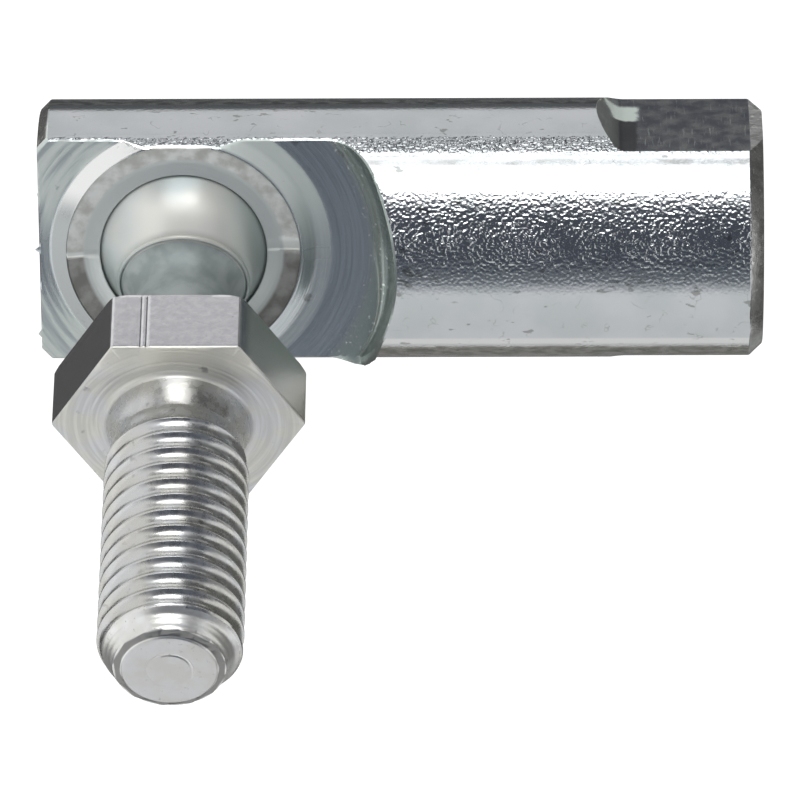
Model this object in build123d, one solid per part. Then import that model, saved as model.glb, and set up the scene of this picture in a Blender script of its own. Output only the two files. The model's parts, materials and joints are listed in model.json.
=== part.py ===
"""Right-angle ball joint linkage, 1/4-28 UNF: a steel housing with a staked ball socket, and a ball stud.

Millimetres. The housing is a round bar along X. The origin is at the mouth of its threaded hole, +X points
out along the rod that screws in there, the ball opening faces -Y, and +Z is up. The stud droops at its stop.
"""

import os
from math import atan2, cos, pi, radians, sin, sqrt, tan

from build123d import *

# ---- thread, 1/4-28 UNF, on both the stud and the rod that screws into the housing ----
THREAD_D = 6.25  # crest diameter of the plated external thread
TAP_DRILL_D = 5.46  # crest diameter of the internal thread
BLANK_D = 5.76  # the stud's plain shoulder is left at the size of the blank the thread is rolled on

# ---- housing bar ----
BAR_D = 11.43
BAR_L = 31.75
BALL_TO_MOUTH = 25.4  # ball centre to the threaded end
BALL_END_CHAMFER = 0.45
ROD_END_CHAMFER = 0.6

# ---- spot face and collar, turned about the ball axis; heights are above the ball centre ----
FACE_H = 2.38
FACE_R = 9.3
FACE_CORNER = 0.2  # sloping corner that the tool leaves at the wall
COLLAR_H = 2.83
COLLAR_BASE_R = 5.8
COLLAR_TOP_R = 5.21

# ---- staked lip: two half-ring punches press the metal in over the ball ----
PRESS_IN_R = 4.28
PRESS_OUT_R = 5.1
PRESS_UPPER_DEPTH = 0.05
PRESS_LOWER_DEPTH = 0.1
PRESS_RIDGE_W = 0.3  # metal left standing where the two half punches part
LIP_EDGE_R = 3.67
LIP_EDGE_H = 2.7
LIP_ROOT_H = 2.4

# ---- ball and its seat ----
BALL_D = 8.86
SEAT_CLEARANCE = 0.04  # running fit, on the radius
SEAT_R = BALL_D / 2 + SEAT_CLEARANCE

# ---- wrench flats at the threaded end ----
FLATS_ACROSS = 9.72
FLATS_L = 6.35
FLATS_RUNOUT_DEG = 42
FLATS_RUNOUT_R = 0.9

# ---- threaded hole ----
HOLE_DEPTH = 14.3
DRILL_POINT_DEG = 118
MOUTH_CHAMFER = 0.45

# ---- ball stud; distances are from the ball centre along the stud ----
NECK_EDGE_R = 2.91  # circle where the ball ends and the waist begins
WAIST_R = 2.1
WAIST_ARC_R = 1.4
WAIST_FLARE_DEG = 12
WAIST_ROOT = 0.3  # sloping foot where the waist meets the hexagon
HEX_ACROSS = 9.53
HEX_BACK = 8.75
HEX_FRONT = 11.94
HEX_CHAMFER_R = 5.3
HEX_CHAMFER_DEG = 35
SHANK_FILLET = 0.55
THREAD_START = 13.95
THREAD_LEAD = 0.25
STUD_END = 26.29
END_FACE_R = 2.0
END_DIMPLE_R = 1.0
END_DIMPLE_DEPTH = 0.06

# ---- pose: the stud leans down until its waist is close to the lip ----
DROOP_DEG = 22.1

os.makedirs("parts", exist_ok=True)

BALL = Vector(-BALL_TO_MOUTH, 0, 0)
REACH = BAR_D  # past the bar's surface, for cutting tools

# Local Z of a body of revolution about the ball axis becomes -Y.
OPENING = Location(BALL, (90, 0, 0))


def turned(profile):
    """A solid turned about Z from a closed wire that lies in the XZ plane."""
    return revolve(make_face(Plane.XZ * profile), Axis.Z)


def polygon(*points):
    """A closed wire through the points."""
    return Polyline(*points, close=True)


def half_ring(inner, outer, bottom, top, ridge, side):
    """Half of a ring about Z, on the +Y or -Y side, that stops half a ridge short of the XZ plane."""
    ring = turned(polygon((inner, bottom), (outer, bottom), (outer, top), (inner, top)))
    keep = Box(4 * outer, 2 * outer, 4 * (top - bottom), align=(Align.CENTER, Align.MIN, Align.CENTER))
    keep = Pos(0, ridge / 2, (top + bottom) / 2) * keep
    return ring & (keep if side > 0 else mirror(keep, about=Plane.XZ))


# ---------------------------------------------------------------- housing
def bar():
    """The round bar, chamfered at both ends."""
    radius = BAR_D / 2
    outline = polygon(
        (0, -BAR_L),
        (radius - BALL_END_CHAMFER, -BAR_L),
        (radius, -BAR_L + BALL_END_CHAMFER),
        (radius, -ROD_END_CHAMFER),
        (radius - ROD_END_CHAMFER, 0),
        (0, 0),
    )
    return Rot(0, 90, 0) * turned(outline)


def spot_face_cutter():
    """What the turned spot face takes away: all round the collar, and above it."""
    outline = polygon(
        (0, COLLAR_H),
        (COLLAR_TOP_R, COLLAR_H),
        (COLLAR_BASE_R, FACE_H),
        (FACE_R - FACE_CORNER, FACE_H),
        (FACE_R, FACE_H + FACE_CORNER),
        (FACE_R, REACH),
        (0, REACH),
    )
    return OPENING * turned(outline)


def socket_cutter():
    """The seat under the ball, narrowed by the staked lip and opening out to the collar's top."""
    root_r = sqrt(SEAT_R**2 - LIP_ROOT_H**2)
    outline = [
        ThreePointArc((0, -SEAT_R), (SEAT_R, 0), (root_r, LIP_ROOT_H)),
        Line((root_r, LIP_ROOT_H), (LIP_EDGE_R, LIP_EDGE_H)),
        Line((LIP_EDGE_R, LIP_EDGE_H), (PRESS_IN_R, COLLAR_H)),
        Line((PRESS_IN_R, COLLAR_H), (PRESS_IN_R, REACH)),
        Line((PRESS_IN_R, REACH), (0, REACH)),
        Line((0, REACH), (0, -SEAT_R)),
    ]
    return OPENING * turned(Wire(outline))


def staking_cutters():
    """The two half rings that the punch presses down."""
    top = COLLAR_H + 1
    upper = half_ring(PRESS_IN_R - 0.1, PRESS_OUT_R, COLLAR_H - PRESS_UPPER_DEPTH, top, PRESS_RIDGE_W, 1)
    lower = half_ring(PRESS_IN_R - 0.1, PRESS_OUT_R, COLLAR_H - PRESS_LOWER_DEPTH, top, PRESS_RIDGE_W, -1)
    return [OPENING * upper, OPENING * lower]


def flat_cutter():
    """What one wrench flat takes off the top of the bar, with its sloping end rounded at the foot."""
    low = FLATS_ACROSS / 2
    rise = REACH - low
    slope = radians(FLATS_RUNOUT_DEG)
    foot = FLATS_RUNOUT_R * tan(slope / 2)  # from the corner to where the rounding starts
    corner = Vector(-FLATS_L, low)
    on_flat = corner + Vector(foot, 0)
    on_slope = corner + Vector(-foot * cos(slope), foot * sin(slope))
    centre = on_flat + Vector(0, FLATS_RUNOUT_R)
    turn = -pi / 2 - slope / 2
    middle = centre + Vector(FLATS_RUNOUT_R * cos(turn), FLATS_RUNOUT_R * sin(turn))
    far = corner + Vector(-rise / tan(slope), rise)
    outline = [
        Line((1, low), on_flat),
        ThreePointArc(on_flat, middle, on_slope),
        Line(on_slope, far),
        Line(far, (1, REACH)),
        Line((1, REACH), (1, low)),
    ]
    return extrude(make_face(Plane.XZ * Wire(outline)), REACH, both=True)


def hole_cutter():
    """The drilled and tapped hole, at the crest of its thread, with a chamfered mouth."""
    radius = TAP_DRILL_D / 2
    point = radius / tan(radians(DRILL_POINT_DEG / 2))
    outline = polygon(
        (0, 1),
        (radius + MOUTH_CHAMFER + 1, 1),
        (radius, -MOUTH_CHAMFER),
        (radius, -HOLE_DEPTH),
        (0, -HOLE_DEPTH - point),
    )
    return Rot(0, 90, 0) * turned(outline)


def housing():
    """The one-piece housing."""
    flat = flat_cutter()
    cutters = [spot_face_cutter(), socket_cutter(), hole_cutter(), flat, mirror(flat, about=Plane.XY)]
    return bar() - cutters - staking_cutters()


# ---------------------------------------------------------------- ball stud
def stud_outline():
    """Half section of the stud without its hexagon: x is the radius, y the distance from the ball centre."""
    ball_r = BALL_D / 2
    edge_s = sqrt(ball_r**2 - NECK_EDGE_R**2)
    arc_r = WAIST_R + WAIST_ARC_R
    arc_s = edge_s + sqrt(WAIST_ARC_R**2 - (arc_r - NECK_EDGE_R) ** 2)
    flare = radians(WAIST_FLARE_DEG)
    flare_start = (arc_r - WAIST_ARC_R * cos(flare), arc_s + WAIST_ARC_R * sin(flare))
    flare_end_s = HEX_BACK - WAIST_ROOT
    flare_end = (flare_start[0] + (flare_end_s - flare_start[1]) * tan(flare), flare_end_s)
    hex_root = (flare_end[0] + WAIST_ROOT, HEX_BACK)
    blank_r = BLANK_D / 2
    crest_r = THREAD_D / 2
    face_root = (blank_r + SHANK_FILLET, HEX_FRONT)
    shoulder = (blank_r, HEX_FRONT + SHANK_FILLET)
    mid_angle = atan2(-NECK_EDGE_R, -edge_s) / 2
    return Wire(
        [
            ThreePointArc((0, -ball_r), (ball_r * cos(mid_angle), ball_r * sin(mid_angle)), (NECK_EDGE_R, edge_s)),
            ThreePointArc((NECK_EDGE_R, edge_s), (WAIST_R, arc_s), flare_start),
            Line(flare_start, flare_end),
            Line(flare_end, hex_root),
            Line(hex_root, (hex_root[0], HEX_FRONT - 1)),
            Line((hex_root[0], HEX_FRONT - 1), (face_root[0], HEX_FRONT - 1)),
            Line((face_root[0], HEX_FRONT - 1), face_root),
            RadiusArc(face_root, shoulder, SHANK_FILLET),
            Line(shoulder, (blank_r, THREAD_START)),
            Line((blank_r, THREAD_START), (crest_r, THREAD_START + THREAD_LEAD)),
            Line((crest_r, THREAD_START + THREAD_LEAD), (crest_r, STUD_END - (crest_r - END_FACE_R))),
            Line((crest_r, STUD_END - (crest_r - END_FACE_R)), (END_FACE_R, STUD_END)),
            Line((END_FACE_R, STUD_END), (END_DIMPLE_R, STUD_END)),
            Line((END_DIMPLE_R, STUD_END), (END_DIMPLE_R - END_DIMPLE_DEPTH, STUD_END - END_DIMPLE_DEPTH)),
            Line((END_DIMPLE_R - END_DIMPLE_DEPTH, STUD_END - END_DIMPLE_DEPTH), (0, STUD_END - END_DIMPLE_DEPTH)),
            Line((0, STUD_END - END_DIMPLE_DEPTH), (0, -ball_r)),
        ]
    )


def hexagon():
    """The spanner hexagon, its corners chamfered on the ball's side."""
    corner_r = HEX_ACROSS / sqrt(3)
    depth = (corner_r - HEX_CHAMFER_R) * tan(radians(HEX_CHAMFER_DEG))
    prism = extrude(RegularPolygon(corner_r, 6), HEX_FRONT - HEX_BACK)
    envelope = turned(
        polygon(
            (0, HEX_BACK),
            (HEX_CHAMFER_R, HEX_BACK),
            (corner_r + 0.1, HEX_BACK + depth * (corner_r + 0.1 - HEX_CHAMFER_R) / (corner_r - HEX_CHAMFER_R)),
            (corner_r + 0.1, HEX_FRONT),
            (0, HEX_FRONT),
        )
    )
    return (Pos(0, 0, HEX_BACK) * prism) & envelope


def ball_stud():
    """The one-piece ball stud, leaning down by the droop."""
    upright = turned(stud_outline()) + hexagon()
    return Location(BALL, (90 + DROOP_DEG, 0, 0)) * upright


export_step(housing(), "parts/socket_housing.step")
export_step(ball_stud(), "parts/ball_stud.step")
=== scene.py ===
"""Looks of the angle ball joint: zinc-plated steel, rolled and tapped threads, turned faces and their burrs.

Sizes are in millimetres, as in the solids, and become metres where a point is placed. Positions come from the
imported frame: the ball's centre from the joint, and the stud's axis and the hole's mouth from the mounts.
"""

import json
from math import asin, atan2, cos, exp, hypot, pi, radians, sin, sqrt, tan

import bmesh
import bpy
import numpy as np
from mathutils import Matrix, Vector, noise


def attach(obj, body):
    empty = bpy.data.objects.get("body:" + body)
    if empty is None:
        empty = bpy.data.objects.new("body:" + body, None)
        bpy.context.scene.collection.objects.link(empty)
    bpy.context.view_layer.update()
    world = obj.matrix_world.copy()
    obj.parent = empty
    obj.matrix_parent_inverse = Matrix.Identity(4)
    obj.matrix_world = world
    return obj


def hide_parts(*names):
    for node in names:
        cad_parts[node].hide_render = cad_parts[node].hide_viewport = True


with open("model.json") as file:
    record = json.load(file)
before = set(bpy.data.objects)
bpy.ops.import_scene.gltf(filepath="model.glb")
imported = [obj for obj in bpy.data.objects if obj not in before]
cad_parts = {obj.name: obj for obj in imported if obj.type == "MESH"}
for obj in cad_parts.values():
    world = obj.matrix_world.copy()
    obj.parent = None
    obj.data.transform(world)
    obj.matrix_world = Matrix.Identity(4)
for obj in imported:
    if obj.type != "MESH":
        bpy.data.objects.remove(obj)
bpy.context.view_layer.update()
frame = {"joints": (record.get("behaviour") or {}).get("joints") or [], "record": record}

MM = 0.001
MOUNTS = {mount["name"]: mount for mount in frame["record"]["mounts"]}
BALL = Vector(frame["joints"][0]["pos_m"])
STUD_AXIS = Vector(MOUNTS["stud_thread"]["axis"]).normalized()
STUD_UP = STUD_AXIS.cross(Vector((1, 0, 0))).normalized()

# ---- thread, 1/4-28 UNF ----
PITCH = 25.4 / 28
CREST_R = MOUNTS["stud_thread"]["dims"]["r_mm"]
TAP_R = MOUNTS["rod_thread"]["dims"]["r_mm"]
CREST_FLAT = 0.1
CREST_ROUND = 0.03
ROOT_R = 0.45  # full, as rolling and plating leave it
FLANK = radians(60)  # slope of a flank against the axis

# ---- ball stud, distances from the ball's centre ----
BALL_R = 4.43
NECK_EDGE_R = 2.91
NECK_EDGE = sqrt(BALL_R**2 - NECK_EDGE_R**2)
NECK_BEAD_R = 0.13  # a small bead where the ball meets its neck
WAIST_R = 2.1
WAIST_ARC_R = 1.4
WAIST_FLARE = radians(12)
NECK_FILLET = 0.3  # between the neck's flare and the hexagon
HEX_ACROSS = 9.53
HEX_BACK = 8.75
HEX_FRONT = 11.94
HEX_CHAMFER_R = 5.3
HEX_CHAMFER = radians(35)
HEX_EDGE = 0.06  # rounding of the hexagon's edges
HEX_CORNER = 0.03  # how far its corners are worn
HEX_SCORES = (1.24, 1.49)  # two scored lines on the upper flat: how far from its middle, towards -X
SCORE_DEPTH = 0.03
SCORE_HALF = 0.06  # half of a scored line's width
FRONT_R = 4.68  # outer edge of the turning marks on the hexagon's front face
FRONT_STROKE = 0.17
FRONT_GROOVES = ((4.59, 0.006, 0.05), (3.84, 0.014, 0.06), (3.6, 0.01, 0.05))  # radius, depth and width
SHOULDER_R = 2.82
TAPER_R = 3.12  # the shank tapers from its fillet down to the thread
SHANK_FILLET = 0.3
THREAD_FROM = 13.4
THREAD_FULL = 14.9
CREST_AT = 24.386  # a crest on the stud's upper side
STUD_END = 26.29
END_PROFILE = (  # distance and radius of the chamfered end, with a step before the end face
    (24.9, CREST_R),
    (25.15, 3.04),
    (25.48, 2.7),
    (26.1, 2.38),
    (26.16, 2.12),
    (STUD_END, 1.99),
)
END_RING = 0.28  # pitch of the low rings on it
END_RING_H = 0.011

# ---- housing; along is measured from the ball's centre along +X, height from it towards -Y ----
BAR_R = 5.715
BACK_END = -6.35
ROD_END = -BALL.x / MM
BALL_END_CHAMFER = 0.45
ROD_END_CHAMFER = 0.6
EDGE = 0.05  # rounding of the turned edges
KNEE = EDGE * 0.6  # how far the rounding reaches along the bar, at a chamfer
FACE_H = 2.38
FACE_R = 9.3
WALL_FOOT_UPPER = (1.1, 1.8)  # width and rise of the rounded foot of the spot face's wall
WALL_FOOT_LOWER = (0.2, 0.2)
RIM_IN = 0.07  # worn edge of the spot face: its width on the face, and on the bar
RIM_OUT = 0.15
TORN_LIP = (6.35, 8.75)  # where along the spot face's lower edge the tool left a torn lip
TORN_DROP = 0.42
END_BURRS = ((0.0, 0.22), (-4.0, 0.2), (2.6, 0.06), (-1.8, 0.05))  # at the back end: how far up, and the size
COLLAR_H = 2.83
COLLAR_BASE_R = 5.8
COLLAR_TOP_R = 5.21
PRESS_IN_R = 4.28
PRESS_OUT_R = 5.1
PRESS_UPPER = 0.05
PRESS_LOWER = 0.1
PRESS_DISH = 0.12  # how much deeper the pressed ring lies at its inner edge
RIDGE_RIGHT = (0.44, 0.56)  # where the punch's halves parted: height of the ridge, and its width
RIDGE_LEFT = (-0.08, 0.26)
LIP_EDGE_R = 3.67
LIP_EDGE_H = 2.7
LIP_ROOT_H = 2.4
SEAT_R = 4.47
FLATS_ACROSS = 9.72
FLATS_L = 6.35
FLATS_RUNOUT = radians(42)
FLATS_RUNOUT_R = 0.9
MOUTH_CHAMFER = 0.45
HOLE_DEPTH = 14.3
DRILL_POINT = radians(118)

SHARP = radians(25)  # edges above this angle stay sharp


# ---- mesh helpers ----
def point(along, radius, angle):
    """A point of the stud, in metres: angle is right-handed about the stud's axis, from its upper side."""
    side = STUD_UP * cos(angle) - Vector((1, 0, 0)) * sin(angle)
    return BALL + (STUD_AXIS * along + side * radius) * MM


def add_object(name, data):
    """A new object in the scene."""
    obj = bpy.data.objects.new(name, data)
    bpy.context.scene.collection.objects.link(obj)
    return obj


def mesh_object(name, verts, faces):
    """A smooth object with its doubled points joined. The weighted normals keep its flat faces flat beside
    their rounded edges."""
    mesh = bpy.data.meshes.new(name)
    mesh.from_pydata([tuple(v) for v in verts], [], faces)
    bm = bmesh.new()
    bm.from_mesh(mesh)
    bmesh.ops.remove_doubles(bm, verts=bm.verts, dist=1e-7)
    bmesh.ops.recalc_face_normals(bm, faces=bm.faces)
    for face in bm.faces:
        face.smooth = True
    bm.to_mesh(mesh)
    bm.free()
    mesh.set_sharp_from_angle(angle=SHARP)
    obj = add_object(name, mesh)
    obj.modifiers.new("flat_faces", "WEIGHTED_NORMAL").keep_sharp = True
    return obj


def finishes(obj, materials, region):
    """Gives each face the material that region(centre, normal) numbers."""
    for material in materials:
        obj.data.materials.append(material)
    for polygon in obj.data.polygons:
        polygon.material_index = region(polygon.center, polygon.normal)


def grid_faces(rows, columns, closed, first=0):
    """Quads between neighbouring rows of a grid whose points are numbered row by row."""
    corners = ((0, 0), (0, 1), (1, 1), (1, 0))
    return [
        tuple(first + (i + di) * columns + (j + dj) % columns for di, dj in corners)
        for i in range(rows - 1)
        for j in range(columns if closed else columns - 1)
    ]


def helix_faces(rows, columns, lead, first=0):
    """Quads of a helical grid: past its last column, a row carries on as the one a lead further on."""
    faces = []
    for i in range(rows - 1):
        for j in range(columns - 1):
            a = first + i * columns + j
            faces.append((a, a + 1, a + columns + 1, a + columns))
        if 0 <= i + lead < rows - 1:
            a, b = first + i * columns + columns - 1, first + (i + lead) * columns
            faces.append((a, b, b + columns, a + columns))
    return faces


def arc(centre, radius, start, end, steps):
    """Points (x, y) along an arc, angles in radians."""
    turns = np.linspace(start, end, steps + 1)
    return [(centre[0] + radius * cos(t), centre[1] + radius * sin(t)) for t in turns]


def smoothstep(x):
    x = np.clip(x, 0, 1)
    return x * x * (3 - 2 * x)


def rough(along, height, up, size):
    """Smooth noise between -1 and 1 at a place in mm, with features of about a size in mm."""
    return noise.noise(Vector((along, height, up)) / size)


# ---- thread form ----
def thread_pitch(crest_flat, root_r):
    """One pitch of a thread, from one crest's middle to the next: distances along and depths, in mm."""
    knee = CREST_ROUND * tan(FLANK / 2)
    half = [
        (crest_flat / 2 - knee + CREST_ROUND * sin(t), CREST_ROUND * (1 - cos(t)))
        for t in np.linspace(0, FLANK, 4)
    ]
    bottom = tan(FLANK) * (PITCH - crest_flat) / 2 - root_r
    half += [
        (PITCH / 2 - root_r * sin(t), bottom - root_r * (1 - cos(t)))
        for t in np.linspace(FLANK, 0, 7)
    ]
    return half + [(PITCH - s, depth) for s, depth in reversed(half[:-1])]


# ---- ball stud ----
def stud_angles():
    """Angles round the stud, with extra ones where the hexagon's corners are rounded and its flat is scored."""
    even = set(np.round(np.arange(0, 360, 2.5), 3))
    corners = [30 + 60 * k for k in range(6)]
    extra = set(c + d for c in corners for d in (-0.9, -0.4, 0, 0.4, 0.9))
    for score in HEX_SCORES:
        extra |= set(np.degrees(atan2(score + d, HEX_ACROSS / 2)) for d in (-0.08, -0.03, 0, 0.03, 0.08))
    return np.radians(sorted(even | extra))


def hexagon_radius(angles):
    """Radius of the hexagon, a flat facing up, with its corners just rounded and its upper flat scored."""
    folded = (angles + pi / 6) % (pi / 3) - pi / 6
    radius = HEX_ACROSS / 2 / np.cos(folded)
    limit = HEX_ACROSS / sqrt(3) - HEX_CORNER
    radius = np.minimum(radius, limit + 0.15 * (radius - limit))
    across = np.where(angles < pi / 6, HEX_ACROSS / 2 * np.tan(angles), 0)
    for score in HEX_SCORES:
        radius -= SCORE_DEPTH * np.clip(1 - np.abs(across - score) / SCORE_HALF, 0, 1)
    return radius


def turned_face(radius, angles):
    """Height of the tool's marks on the hexagon's front face, in mm."""
    height = 0.0008 * sin(radius * 2 * pi / FRONT_STROKE) * (1 + 0.6 * np.cos(angles * 2 + radius * 3))
    for groove, depth, width in FRONT_GROOVES:
        height -= depth * exp(-(((radius - groove) / width) ** 2))
    return height


def end_radius(along):
    """Radius of the shank's chamfered end, with the low rings that rolling leaves on it."""
    starts, radii = zip(*END_PROFILE)
    rings = END_RING_H * np.sin(along * 2 * pi / END_RING) * smoothstep((along - starts[1]) / 0.1)
    return np.interp(along, starts, radii) + rings * smoothstep((STUD_END - 0.1 - along) / 0.1)


def stud_rows(angles):
    """Rows (distance along, radius), each an array over the angles, from the ball's pole to the shank."""
    rows = []

    def add(along, radius):
        rows.append((along + 0 * angles, radius + 0 * angles))

    for turn in np.linspace(-pi / 2, asin(NECK_EDGE / BALL_R) - 0.03, 60):
        add(BALL_R * sin(turn), BALL_R * cos(turn))
    add(NECK_EDGE - 0.04, NECK_EDGE_R)
    bead = arc((NECK_EDGE_R - 0.1, NECK_EDGE + 0.04), NECK_BEAD_R, radians(-25), radians(95), 8)
    centre_r = WAIST_R + WAIST_ARC_R
    centre = NECK_EDGE + sqrt(WAIST_ARC_R**2 - (centre_r - NECK_EDGE_R) ** 2)
    start = atan2(NECK_EDGE - centre, NECK_EDGE_R - centre_r)
    waist = arc((centre_r, centre), WAIST_ARC_R, start + 2 * pi - 0.08, pi - WAIST_FLARE, 22)
    for radius, along in bead + waist:
        add(along, radius)
    root_r = radius + (HEX_BACK - NECK_FILLET - along) * tan(WAIST_FLARE)
    add(HEX_BACK - NECK_FILLET, root_r)
    add(HEX_BACK - NECK_FILLET / 3, root_r + NECK_FILLET * 0.3)
    add(HEX_BACK, root_r + NECK_FILLET)

    hexagon = hexagon_radius(angles)
    inner = np.minimum(hexagon, HEX_CHAMFER_R)
    chamfer = HEX_BACK + np.clip(hexagon - HEX_CHAMFER_R, 0, None) * tan(HEX_CHAMFER)
    add(HEX_BACK, (root_r + NECK_FILLET + inner) / 2)
    add(HEX_BACK, inner - HEX_EDGE)
    add(HEX_BACK + HEX_EDGE / 3, inner - HEX_EDGE / 3)
    add(chamfer + HEX_EDGE, hexagon)
    add(chamfer + HEX_EDGE * 3, hexagon)
    add((HEX_BACK + HEX_FRONT) / 2, hexagon)
    add(HEX_FRONT - HEX_EDGE * 3, hexagon)
    add(HEX_FRONT - HEX_EDGE, hexagon)
    add(HEX_FRONT - HEX_EDGE / 3, hexagon - HEX_EDGE / 4)
    add(HEX_FRONT, hexagon - HEX_EDGE)

    fillet_r = TAPER_R + SHANK_FILLET
    for radius in np.arange(FRONT_R, fillet_r + 0.01, -0.04):
        add(HEX_FRONT + turned_face(radius, angles), radius)
    centre = (fillet_r, HEX_FRONT + SHANK_FILLET)
    for radius, along in arc(centre, SHANK_FILLET, -pi / 2, radians(15) - pi, 10):
        add(along, radius)
    for share in np.linspace(0.15, 1, 5):
        add(along + (THREAD_FROM - along) * share, radius + (SHOULDER_R - radius) * share)
    return rows


def thread_grid(angles):
    """Points (along, radius, angle) of the rolled thread, in rows along the helix, and the rows to one turn."""
    pitch = thread_pitch(CREST_FLAT, ROOT_R)
    lead = len(pitch) - 1
    turns = range(int((THREAD_FROM - CREST_AT) / PITCH) - 2, int((STUD_END - CREST_AT) / PITCH) + 2)
    last = STUD_END - 0.02
    rows = []
    for turn in turns:
        for offset, depth in pitch[:-1]:
            along = np.clip(CREST_AT + PITCH * (turn + angles / (2 * pi)) + offset, THREAD_FROM, last)
            grown = smoothstep((along - THREAD_FROM) / (THREAD_FULL - THREAD_FROM))
            radius = SHOULDER_R + (CREST_R - depth - SHOULDER_R) * grown
            fading = 0.6 * depth * (1 - smoothstep((along - END_PROFILE[0][0]) / 0.8))
            radius = np.minimum(radius, end_radius(along) - fading)
            rows.append(list(zip(along, radius, angles)))
    return rows, lead


def end_rows(angles):
    """Rows of the end face: its edge, a faint step, a ring scored round the middle, and a low nub."""
    even = 0 * angles
    edge = [(STUD_END - 0.02, float(end_radius(STUD_END - 0.02))), (STUD_END, END_PROFILE[-1][1] - 0.04)]
    step = [(STUD_END, 1.75), (STUD_END - 0.008, 1.5), (STUD_END - 0.008, 1.15)]
    rows = [(along + even, radius + even) for along, radius in edge + step]
    deep = 0.03 + 0.04 * np.clip(np.cos(angles + 0.6), 0, 1)
    for radius, share in ((1.06, 0.2), (1.0, 1.0), (0.94, 0.9), (0.88, 0.35), (0.6, 0.3), (0.5, 0.55)):
        rows.append((STUD_END - deep * share, radius + even))
    return rows + [(STUD_END - 0.01 + even, even)]


def ball_stud():
    """The whole ball stud, one turned and rolled piece."""
    angles = stud_angles()
    rows = [list(zip(along, radius, angles)) for along, radius in stud_rows(angles)]
    faces = grid_faces(len(rows), len(angles), True)
    thread, lead = thread_grid(angles)
    first = len(rows) * len(angles)
    faces += helix_faces(len(thread), len(angles), lead, first)
    rows += thread
    first = len(rows) * len(angles)
    end = [list(zip(along, radius, angles)) for along, radius in end_rows(angles)]
    faces += grid_faces(len(end), len(angles), True, first)
    rows += end
    verts = [point(s, r, t) for row in rows for s, r, t in row]
    return mesh_object("ball_stud_turned", verts, faces)


def stud_region(centre, normal):
    """Which finish a face of the stud has: 0 ball, 1 neck, 2 hexagon, 3 its front face, 4 thread,
    5 chamfered end."""
    offset = (centre - BALL) / MM
    along = offset.dot(STUD_AXIS)
    if along < NECK_EDGE + 0.16:
        return 0
    if along < HEX_BACK + 0.001:
        return 1
    if along < HEX_FRONT - 0.04:
        return 2
    end, end_r = END_PROFILE[1]
    if along > end - 0.1 and hypot(offset.x, offset.dot(STUD_UP)) < end_r - 0.1:
        return 5
    return 3 if along < HEX_FRONT + SHANK_FILLET * 0.9 else 4


# ---- housing ----
def bar_point(along, height, up):
    """A point of the housing, in metres."""
    return BALL + Vector((along, -height, up)) * MM


def bar_radius(along):
    """Radius of the bar, with its end chamfers and their rounded edges."""
    back, front = BACK_END + BALL_END_CHAMFER, ROD_END - ROD_END_CHAMFER
    xs = [BACK_END, BACK_END + EDGE / 2, back - KNEE, back + KNEE]
    xs += [front - KNEE, front + KNEE, ROD_END - EDGE / 2, ROD_END]
    low, high = BAR_R - BALL_END_CHAMFER, BAR_R - ROD_END_CHAMFER
    rs = [low - EDGE, low + EDGE / 2, BAR_R - KNEE, BAR_R, BAR_R, BAR_R - KNEE, high + EDGE / 2, high - EDGE]
    return np.interp(along, xs, rs)


def flat_height(along):
    """Distance of a wrench flat from the bar's axis: its run-out is a slope with a rounded foot."""
    low = FLATS_ACROSS / 2
    foot = FLATS_RUNOUT_R * tan(FLATS_RUNOUT / 2)
    corner = ROD_END - FLATS_L
    slope = low + (corner - along) * tan(FLATS_RUNOUT)
    inside = np.clip(corner + foot - along, 0, FLATS_RUNOUT_R * sin(FLATS_RUNOUT))
    rounded = low + FLATS_RUNOUT_R - np.sqrt(FLATS_RUNOUT_R**2 - inside**2)
    height = np.where(along < corner - foot * cos(FLATS_RUNOUT), slope, rounded)
    return np.minimum(height, bar_radius(along))


def wall_foot(angle):
    """Width and rise of the foot of the spot face's wall on one ray."""
    upper = float(smoothstep((sin(angle) + 0.52) / 0.6))
    return [low + (high - low) * upper for low, high in zip(WALL_FOOT_LOWER, WALL_FOOT_UPPER)]


def foot_angles(width, rise):
    """Where the wall's foot leaves the bar: the angle at the top of its rise, and the one at its start."""
    top = asin(sqrt(BAR_R**2 - (FACE_H + rise) ** 2) / FACE_R)
    return top, asin(sqrt(BAR_R**2 - FACE_H**2) / (FACE_R - width))


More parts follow.
